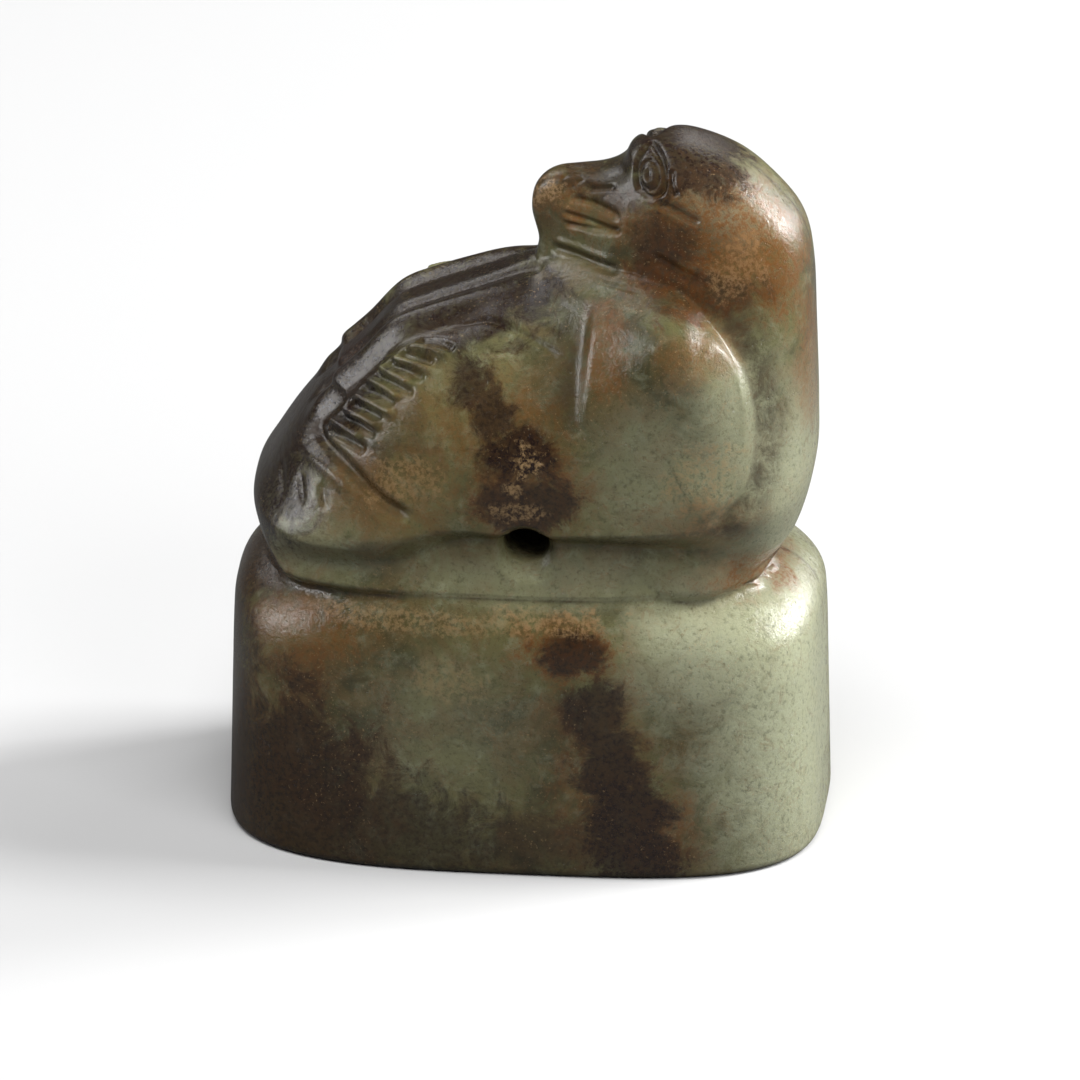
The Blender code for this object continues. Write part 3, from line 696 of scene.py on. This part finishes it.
places = np.array([vert.co for vert in seal.data.vertices])
drawn = to_drawing(places[:, 0], places[:, 2])
drawn = np.insert(drawn, 1, -np.abs(places[:, 1]) * DRAWN[1] / BIRD_DEPTH, axis=1)
hollow = np.zeros(len(places))
on_bird = drawn[:, 2] > CARVED_FROM
hollow[on_bird] = -carving(drawn[on_bird])
block = base_depth(places[:, 0], places[:, 2]) / MM
bird = drawn_depth(drawn[:, [0, 2]])
in_groove = np.exp(-((block - bird) / GROOVE_DIRT_WIDTH) ** 2)
hollow += GROOVE_DIRT * in_groove * (drawn[:, 2] > GROOVE_DIRT_FROM)
layer = seal.data.attributes.new("hollow", "FLOAT", "POINT")
layer.data.foreach_set("value", hollow.astype(np.float32))
print("hollows from", hollow.min().round(2), "to", hollow.max().round(2), "mm")

# %% [markdown]
# ## Nephrite
#
# Nephrite is a felt of fine fibres. Its green runs from pale celadon to dark olive in clouds, and
# iron in the ground stains its skin russet and brown. Light goes a little way into it, which
# softens the shading. The clouds are noise; the stains are named patches with a place and a size,
# because on the real stone they sit where they sit. One dark patch among them is painted shade
# inside the cord hole.

# %% Helpers for shader nodes
def add_node(tree, kind, **settings):
    item = tree.nodes.new(kind)
    for key, value in settings.items():
        setattr(item, key, value)
    return item


def feed(tree, socket, value):
    """Plug a socket into another one, or set its value."""
    if isinstance(value, bpy.types.NodeSocket):
        tree.links.new(value, socket)
    elif hasattr(socket.default_value, "__len__") and not hasattr(value, "__len__"):
        socket.default_value = [value] * len(socket.default_value)
    else:
        socket.default_value = value


def maths(tree, operation, *values):
    item = add_node(tree, "ShaderNodeMath", operation=operation)
    for socket, value in zip(item.inputs, values):
        feed(tree, socket, value)
    return item.outputs[0]


def vector_maths(tree, operation, *values):
    item = add_node(tree, "ShaderNodeVectorMath", operation=operation)
    for socket, value in zip(item.inputs, values):
        feed(tree, socket, value)
    return item.outputs["Value" if operation in ("LENGTH", "DOT_PRODUCT") else "Vector"]


def noise_at(tree, vector, scale, detail=4.0, roughness=0.55, distortion=0.0):
    item = add_node(tree, "ShaderNodeTexNoise")
    for name, value in (("Vector", vector), ("Scale", scale), ("Detail", detail),
                        ("Roughness", roughness), ("Distortion", distortion)):
        feed(tree, item.inputs[name], value)
    return item.outputs["Fac"]


def climb(tree, value, low, high):
    """Turn a value into a mask that climbs smoothly from 0 at low to 1 at high."""
    item = add_node(tree, "ShaderNodeMapRange", interpolation_type="SMOOTHSTEP")
    for name, number in (("Value", value), ("From Min", low), ("From Max", high)):
        feed(tree, item.inputs[name], number)
    return item.outputs["Result"]


def mixed(tree, share, first, second):
    item = add_node(tree, "ShaderNodeMix", data_type="RGBA")
    feed(tree, item.inputs[0], share)
    feed(tree, item.inputs[6], first)
    feed(tree, item.inputs[7], second)
    return item.outputs[2]


def new_group(name, inputs, outputs):
    """Start a node group with named sockets."""
    tree = bpy.data.node_groups.new(name, "ShaderNodeTree")
    for label, kind in inputs:
        tree.interface.new_socket(label, in_out="INPUT", socket_type=kind)
    for label, kind in outputs:
        tree.interface.new_socket(label, in_out="OUTPUT", socket_type=kind)
    return tree, add_node(tree, "NodeGroupInput").outputs, add_node(tree, "NodeGroupOutput").inputs


def place_group(tree, group, **values):
    item = add_node(tree, "ShaderNodeGroup", node_tree=group)
    for key, value in values.items():
        feed(tree, item.inputs[key.replace("_", " ")], value)
    return item.outputs


# %% [markdown]
# ### Stain patches
#
# One group makes every stain: an ellipsoid around a centre whose edge a noise makes ragged. The
# noise is worked out once in the material and shared by all the patches.

# %% The stain group
VECTOR, FLOAT = "NodeSocketVector", "NodeSocketFloat"

stain, given, made = new_group(
    "stain",
    [("Place", VECTOR), ("Centre", VECTOR), ("Size", VECTOR), ("Ragged", FLOAT),
     ("Raggedness", FLOAT), ("Softness", FLOAT)],
    [("Mask", FLOAT)])
offset = vector_maths(stain, "SUBTRACT", given["Place"], given["Centre"])
away = vector_maths(stain, "LENGTH", vector_maths(stain, "DIVIDE", offset, given["Size"]))
shift = maths(stain, "SUBTRACT", given["Ragged"], 0.5)
shift = maths(stain, "MULTIPLY", shift, given["Raggedness"])
ragged = maths(stain, "ADD", away, shift)
stain_mask = climb(
    stain, ragged, maths(stain, "ADD", 1.0, given["Softness"]),
    maths(stain, "SUBTRACT", 1.0, given["Softness"]))
feed(stain, made["Mask"], stain_mask)
print("stain group with", len(stain.nodes), "nodes")

# %% [markdown]
# ### Where the stains are
#
# Each stain has a centre and half sizes in millimetres, in the seal's own frame, and a strength.
# The front has the stains of the real stone and one dark patch of painted shade inside the cord
# hole. The back, which the photograph doesn't show, gets fewer and broader ones.

# %% List the stains
DARK_STAINS_AND_HOLE_SHADE = [
    ((-13, -9, 4), (6.0, 6.0, 6.5), 0.9), ((-8, -10, 2), (8.0, 5.0, 4.0), 0.8),
    ((1, -10.5, 1.0), (9.0, 4.0, 3.0), 0.6), ((-17, -2, 9), (3.0, 8.0, 8.0), 0.8),
    ((4.7, -11, 10.2), (1.7, 4.0, 2.6), 0.9), ((5.6, -11, 7.2), (2.0, 4.0, 2.4), 0.95),
    ((6.6, -11, 4.0), (2.6, 4.0, 2.4), 1.0), ((7.2, -11, 1.5), (3.2, 4.0, 2.2), 1.0),
    ((3.4, -10.5, 13.9), (2.0, 4.0, 1.3), 0.9), ((-2.8, -9, 29.6), (1.5, 3.0, 1.7), 0.9),
    ((-1.4, -9.5, 28.0), (1.4, 3.0, 1.7), 0.9), ((0.2, -10, 25.7), (2.4, 3.0, 1.7), 1.0),
    ((0.8, -10, 23.2), (2.7, 3.0, 1.9), 0.9), ((-9, -1, 29.5), (7.0, 4.6, 3.4), 1.0),
    ((-13.8, -1, 25), (3.4, 5.5, 5.5), 1.0), ((-3.5, -1, 33.0), (6.0, 4.6, 1.9), 0.95),
    ((-5.5, -3.5, 30.6), (5.0, 2.6, 1.4), 0.7), ((-15.4, -3, 20.5), (2.0, 6.0, 3.0), 0.9),
    # Painted shade, not a stain: the next patch darkens the inside of the cord hole.
    ((0.6, -3, 20.0), (1.9, 6.0, 1.9), 0.9),
    ((9.5, 0, 42), (5.0, 4.0, 1.6), 1.0), ((4.0, -2, 40), (3.2, 3.0, 1.0), 0.85),
    ((8.5, -4, 37.2), (2.0, 3.0, 1.5), 0.6), ((9.6, -6, 34.8), (2.8, 3.0, 1.0), 0.65),
    ((-14.2, -3, 23.0), (3.6, 7.0, 5.0), 1.0), ((-11.5, -2, 27.5), (5.0, 5.6, 4.6), 1.0),
    ((-4.0, -1, 32.4), (8.0, 5.4, 2.6), 1.0), ((9.0, -2.0, 41.6), (5.6, 4.0, 2.2), 0.95),
    ((4.2, -2, 40.0), (4.0, 4.0, 1.4), 0.8),
    ((10.5, -5.5, 34.6), (3.6, 3.0, 1.3), 0.6), ((7.6, -5, 36.6), (1.8, 3.0, 1.8), 0.7),
    ((-15.5, -6, 3.5), (6.0, 6.0, 6.0), 0.85), ((-8.5, -7.5, 26.0), (3.4, 2.4, 1.8), 0.35),
    ((-16, -3, 16), (2.6, 6.0, 1.8), 0.75), ((15.2, -1, 17.2), (1.4, 5.0, 0.8), 0.7),
    ((-10, 10, 5), (8.0, 5.0, 5.0), 0.6), ((6, 10.5, 8), (3.0, 4.0, 7.0), 0.5)]
RUSSET_STAINS = [
    ((11.5, -5, 35.6), (4.0, 4.0, 2.6), 1.0), ((12.0, -4, 39.0), (3.4, 4.0, 2.4), 0.85),
    ((14.2, -4.5, 36.2), (2.4, 4.0, 3.4), 0.8), ((9.2, -4.5, 39.0), (2.6, 3.0, 1.8), 0.75),
    ((14.0, -6, 17.4), (3.4, 3.5, 1.3), 0.9), ((11.0, -8.5, 21.5), (3.4, 3.0, 2.0), 0.45),
    ((-8.0, -9, 23.0), (4.0, 3.0, 3.0), 0.4), ((-13.0, -9, 13.8), (4.0, 4.0, 2.0), 0.6),
    ((8.6, -5, 36.2), (2.8, 3.0, 2.0), 0.8), ((3.2, -10.5, 13.9), (2.9, 4.0, 1.9), 0.85),
    ((5.2, -11, 6.5), (2.7, 4.0, 5.6), 0.5), ((8.6, -11, 3.0), (2.6, 3.5, 2.8), 0.65),
    ((-1.0, -9.5, 27.5), (3.2, 3.0, 3.8), 0.5), ((0.8, -10, 24.2), (3.4, 3.0, 3.2), 0.65),
    ((4.9, -8, 32.0), (1.6, 3.0, 2.4), 0.7), ((10.5, -7.5, 31.8), (2.4, 3.0, 1.6), 0.5),
    ((15.3, -3, 16.9), (1.9, 4.0, 1.2), 0.9), ((14, -8, 18), (3.0, 3.0, 1.4), 0.5),
    ((16.4, -2, 30.0), (1.2, 3.0, 4.5), 0.6), ((1.8, -2, 39.0), (2.4, 3.0, 2.0), 0.75),
    ((10.2, -5, 38.2), (4.6, 4.0, 4.4), 0.75), ((6.0, -4, 38.0), (2.6, 3.0, 1.6), 0.6),
    ((-14.5, -8, 5), (6.5, 6.0, 8.0), 0.5), ((-6, -9, 27), (3.6, 3.0, 2.2), 0.35),
    ((-15.8, -3, 16.5), (3.0, 6.0, 2.2), 0.5), ((-10.5, 0, 28), (1.6, 2.5, 1.4), 0.8),
    ((12, 6, 35), (4.0, 4.0, 4.0), 0.6), ((-4, 9, 26), (5.0, 3.0, 4.0), 0.4)]
TAN_STAINS = [
    ((0.6, -10, 25.2), (0.9, 3.0, 0.9), 0.8), ((0.1, -10, 23.9), (0.6, 3.0, 0.5), 0.6),
    ((0.3, -10, 22.6), (1.2, 3.0, 0.5), 0.5), ((2.6, -10, 15.7), (2.6, 4.0, 0.6), 0.55),
    ((-5, -10, 15.4), (6.5, 4.0, 0.6), 0.35), ((1.2, -2, 38.6), (1.2, 3.0, 0.9), 0.8),
    ((-3.5, -11, 12.0), (2.4, 3.0, 1.0), 0.3), ((12.4, -6, 36.0), (1.6, 3.0, 1.8), 0.45),
    ((-6.5, -8, 23.8), (2.0, 3.0, 1.4), 0.4), ((11, -9, 24), (2.0, 3.0, 3.0), 0.4)]
PALE_STAINS = [
    ((16.5, -5, 8), (6.0, 9.0, 10.5), 1.0), ((13, -10, 14), (6.0, 5.0, 4.5), 0.75),
    ((-4, -11, 9), (5.0, 4.0, 4.0), 0.15), ((9, -10, 25), (4.5, 3.0, 4.5), 0.3),
    ((3, -9.5, 18), (9.0, 3.0, 1.6), 0.3), ((-12, -7, 19.5), (5.0, 4.0, 2.5), 0.3),
    ((15.5, -4, 22), (4.2, 7.0, 6.5), 0.75), ((12.8, -8, 27), (3.5, 4.0, 6.0), 0.5),
    ((12.5, -4, 40.5), (3.2, 4.0, 2.6), 0.55), ((14, 6, 10), (6.0, 7.0, 9.0), 0.7)]
print(len(DARK_STAINS_AND_HOLE_SHADE) + len(RUSSET_STAINS) + len(TAN_STAINS) + len(PALE_STAINS), "stains")

# %% [markdown]
# ### The material
#
# Place in millimetres goes into the noises and the stains. The noises differ in size: clouds of
# green, mottling, a brown haze, the felt of fibres, grains, and veins where a noise passes its
# middle. Image textures would show more, but noises fit any side and need no unwrapping.

# %% Colours and noises of the nephrite
PALE_GREEN = (0.39, 0.405, 0.27, 1)
OLIVE_GREEN = (0.142, 0.134, 0.055, 1)
DEEP_GREEN = (0.05, 0.046, 0.019, 1)
RUSSET = (0.17, 0.062, 0.013, 1)
DARK_BROWN = (0.017, 0.0075, 0.005, 1)
TAN = (0.38, 0.25, 0.12, 1)
HAZE_BROWN = (0.13, 0.085, 0.032, 1)
DIRT = (0.035, 0.02, 0.01, 1)
CLOUD_SCALE = 0.16

stone = bpy.data.materials.new("nephrite")
stone.use_nodes = True
tree = stone.node_tree
shader = tree.nodes["Principled BSDF"]
texture_place = add_node(tree, "ShaderNodeTexCoord").outputs["Object"]
in_mm = vector_maths(tree, "MULTIPLY", texture_place, (1000, 1000, 1000))
cloud = noise_at(tree, in_mm, CLOUD_SCALE, 6, 0.6, 0.4)
mottle = noise_at(tree, in_mm, 0.8, 8, 0.68, 0.4)
ragged_noise = noise_at(tree, in_mm, 0.45, 11, 0.76, 0.6)
fibre = noise_at(tree, in_mm, 3.2, 5, 0.7)
grain = noise_at(tree, in_mm, 6.0, 3, 0.65)
vein_noise = noise_at(tree, in_mm, 0.3, 7, 0.66, 1.2)
haze = noise_at(tree, in_mm, 0.33, 8, 0.66, 0.8)
print("clouds about", round(1 / CLOUD_SCALE, 1), "mm across")

# %% [markdown]
# The colours are laid over one another as the ground laid them on: green clouds, pale ends,
# russet, dark brown (with painted shade inside the cord hole), tan crusts, and last the dirt in
# the hollows. Each layer is a mask, scaled by how strong it is, that mixes one more colour in.

# %% Tools for layers
def stains(patches, edge):
    """Join the masks of a list of stains, the strongest one winning."""
    raggedness, softness = edge
    joined = None
    for centre, size, strength in patches:
        mask = place_group(
            tree, stain, Place=in_mm, Centre=centre, Size=size, Ragged=ragged_noise,
            Raggedness=raggedness, Softness=softness)["Mask"]
        mask = maths(tree, "MULTIPLY", mask, strength)
        joined = mask if joined is None else maths(tree, "MAXIMUM", joined, mask)
    return joined


def times(mask, other):
    return maths(tree, "MULTIPLY", mask, other)


# %% Green clouds, haze and thin veins
PALE_EDGE = (1.6, 0.6)
MOTTLE_STRENGTH = 0.3
HAZE_STRENGTH = 0.6
FIBRE_STRENGTH = 0.45
VEIN_STRENGTH = 0.25

colour = mixed(tree, climb(tree, cloud, 0.38, 0.66), OLIVE_GREEN, DEEP_GREEN)
pale_mottle = times(climb(tree, mottle, 0.45, 0.72), MOTTLE_STRENGTH)
colour = mixed(tree, pale_mottle, colour, PALE_GREEN)
brown_haze = times(climb(tree, haze, 0.44, 0.62), HAZE_STRENGTH)
colour = mixed(tree, brown_haze, colour, HAZE_BROWN)
colour = mixed(tree, stains(PALE_STAINS, PALE_EDGE), colour, PALE_GREEN)
deep_fibre = times(climb(tree, fibre, 0.5, 0.3), FIBRE_STRENGTH)
colour = mixed(tree, deep_fibre, colour, DEEP_GREEN)
in_vein = maths(tree, "ABSOLUTE", maths(tree, "SUBTRACT", vein_noise, 0.5))
vein = times(climb(tree, in_vein, 0.022, 0.004), climb(tree, mottle, 0.42, 0.62))
colour = mixed(tree, times(vein, VEIN_STRENGTH), colour, RUSSET)
print("green layers with", len(tree.nodes), "nodes")

# %% Stains, crusts and dirt
RUSSET_EDGE = (3.6, 0.4)
DARK_EDGE = (2.8, 0.32)
TAN_EDGE = (5.0, 0.3)
RUSSET_LEAST = 0.4
DARK_THINNING = 0.18
SPECK_STRENGTH = 0.5
GRAIN_STRENGTH = 0.35
DIRT_STRENGTH = 0.75

inner = climb(tree, fibre, 0.36, 0.6)
russet_felt = maths(tree, "ADD", RUSSET_LEAST, times(inner, 1 - RUSSET_LEAST))
russet = times(stains(RUSSET_STAINS, RUSSET_EDGE), russet_felt)
colour = mixed(tree, russet, colour, RUSSET)
dark_felt = maths(tree, "SUBTRACT", 1.0, times(inner, DARK_THINNING))
# The dark layer holds the dark stains and also paints shade inside the cord hole.
dark = times(stains(DARK_STAINS_AND_HOLE_SHADE, DARK_EDGE), dark_felt)
colour = mixed(tree, dark, colour, DARK_BROWN)
crust = times(stains(TAN_STAINS, TAN_EDGE), climb(tree, fibre, 0.42, 0.6))
colour = mixed(tree, crust, colour, TAN)
specks = times(climb(tree, grain, 0.6, 0.72), climb(tree, cloud, 0.45, 0.6))
colour = mixed(tree, times(specks, SPECK_STRENGTH), colour, TAN)
dark_grain = times(climb(tree, grain, 0.4, 0.3), GRAIN_STRENGTH)
colour = mixed(tree, dark_grain, colour, DIRT)
sunk = add_node(tree, "ShaderNodeAttribute", attribute_name="hollow").outputs["Fac"]
dirt = times(climb(tree, sunk, 0.06, 0.3), climb(tree, mottle, 0.3, 0.6))
colour = mixed(tree, times(dirt, DIRT_STRENGTH), colour, DIRT)
feed(tree, shader.inputs["Base Color"], colour)
print("all layers with", len(tree.nodes), "nodes")

# %% [markdown]
# Old nephrite has a waxy polish. Fibres make it a little rougher here and there, subsurface gives
# the depth, and a fine bump breaks the highlights up as tiny pits and scratches do.

# %% Polish and fine relief
SMOOTHEST = 0.12
FIBRE_ROUGHNESS = 0.18
MOTTLE_RELIEF = 1.2
FIBRE_RELIEF = 0.5
RELIEF_STRENGTH = 0.6
RELIEF_DISTANCE = 0.00009
NEPHRITE_IOR = 1.61
WAX_WEIGHT = 0.22
WAX_RADIUS = (1.0, 0.9, 0.5)
WAX_SCALE = 0.0004

gloss = maths(tree, "ADD", SMOOTHEST, times(fibre, FIBRE_ROUGHNESS))
feed(tree, shader.inputs["Roughness"], gloss)
pits = climb(tree, noise_at(tree, in_mm, 5.5, 3, 0.7), 0.62, 0.8)
relief = maths(tree, "SUBTRACT", times(mottle, MOTTLE_RELIEF), pits)
relief = maths(tree, "ADD", relief, times(fibre, FIBRE_RELIEF))
bump = add_node(tree, "ShaderNodeBump")
bump.inputs["Strength"].default_value = RELIEF_STRENGTH
bump.inputs["Distance"].default_value = RELIEF_DISTANCE
feed(tree, bump.inputs["Height"], relief)
feed(tree, shader.inputs["Normal"], bump.outputs["Normal"])
shader.inputs["IOR"].default_value = NEPHRITE_IOR
shader.inputs["Subsurface Weight"].default_value = WAX_WEIGHT
shader.inputs["Subsurface Radius"].default_value = WAX_RADIUS
shader.inputs["Subsurface Scale"].default_value = WAX_SCALE
seal.data.materials.clear()
seal.data.materials.append(stone)
print("nephrite with", len(tree.nodes), "nodes")

# %% [markdown]
# ## Light and floor
#
# The photograph has a white table, a softbox high on the right that throws a soft grey shadow to
# the left, a lower one beside it that draws the brightest highlights, softer ones from the left
# and from behind that shine along the spine and the feathers, and one above the front. The white
# is only behind the stone: nothing white is mirrored in its dark parts, so the floor and the
# world look white to the camera and stay dim for the stone.

# %% Show one colour to the camera and another to the stone
def seen_or_not(tree, seen, unseen):
    path = add_node(tree, "ShaderNodeLightPath").outputs["Is Camera Ray"]
    return mixed(tree, path, unseen, seen)


# %% Lay the paper and set the world
FLOOR_HALF_SIZE = 3
FLOOR_SEEN = (0.62, 0.62, 0.62, 1)
FLOOR_UNSEEN = (0.12, 0.12, 0.12, 1)
WORLD_SEEN = (1, 1, 1, 1)
WORLD_UNSEEN = (0.06, 0.06, 0.063, 1)

plane = bmesh.new()
bmesh.ops.create_grid(plane, x_segments=1, y_segments=1, size=FLOOR_HALF_SIZE)
floor_mesh = bpy.data.meshes.new("floor")
plane.to_mesh(floor_mesh)
plane.free()
floor = bpy.data.objects.new("floor", floor_mesh)
bpy.context.scene.collection.objects.link(floor)
paper = bpy.data.materials.new("white_paper")
paper.use_nodes = True
paper_shader = paper.node_tree.nodes["Principled BSDF"]
feed(paper.node_tree, paper_shader.inputs["Base Color"],
     seen_or_not(paper.node_tree, FLOOR_SEEN, FLOOR_UNSEEN))
paper_shader.inputs["Roughness"].default_value = 0.9
paper_shader.inputs["Specular IOR Level"].default_value = 0.1
floor_mesh.materials.append(paper)

world = bpy.data.worlds.new("studio")
world.use_nodes = True
feed(world.node_tree, world.node_tree.nodes["Background"].inputs["Color"],
     seen_or_not(world.node_tree, WORLD_SEEN, WORLD_UNSEEN))
bpy.context.scene.world = world
bpy.context.scene.view_settings.view_transform = "Standard"
print("paper", 2 * FLOOR_HALF_SIZE, "m wide")


# %% Set the lights
MIDDLE = Vector((0, 0, 0.022))


def softbox(name, round_to, high, away, size, glow, shape=True, shine=True):
    """Add a lamp, round_to degrees from the front to the right, high degrees up, away metres off.

    Its glow is in W/sr/m2. With shape off it only shines, with shine off it only shades.
    """
    lamp = bpy.data.lights.new(name, "AREA")
    lamp.shape = "RECTANGLE"
    lamp.size, lamp.size_y = size
    lamp.energy = glow * math.pi * size[0] * size[1]
    turn, tilt = math.radians(round_to), math.radians(high)
    towards = Vector((
        math.sin(turn) * math.cos(tilt), -math.cos(turn) * math.cos(tilt), math.sin(tilt)))
    item = bpy.data.objects.new(name, lamp)
    item.visible_diffuse, item.visible_glossy = shape, shine
    item.location = MIDDLE + away * towards
    item.rotation_euler = towards.to_track_quat("Z", "Y").to_euler()
    bpy.context.scene.collection.objects.link(item)
    print(name, round(lamp.energy, 2), "W")


softbox("key_high_right", 98, 47, 0.6, (0.14, 0.14), 44, shine=False)
softbox("fill_front_right", 42, 35, 0.8, (0.40, 0.30), 5.5, shine=False)
softbox("fill_front_top", -8, 64, 0.8, (0.50, 0.40), 7.5, shine=False)
softbox("fill_left", -85, 26, 0.6, (0.20, 0.25), 4, shine=False)
softbox("highlight_right", 112, 20, 0.6, (0.10, 0.18), 46)
softbox("highlight_left", -80, 20, 0.6, (0.12, 0.26), 11, shape=False)
softbox("sheen_left_back", -128, 38, 0.7, (0.26, 0.26), 3.5, shape=False)
softbox("sheen_top_left", -105, 62, 0.7, (0.14, 0.14), 5, shape=False)
softbox("sheen_back", 172, 27, 0.7, (0.20, 0.12), 3.5, shape=False)
softbox("edge_right_back", 135, 8, 0.7, (0.30, 0.35), 6)
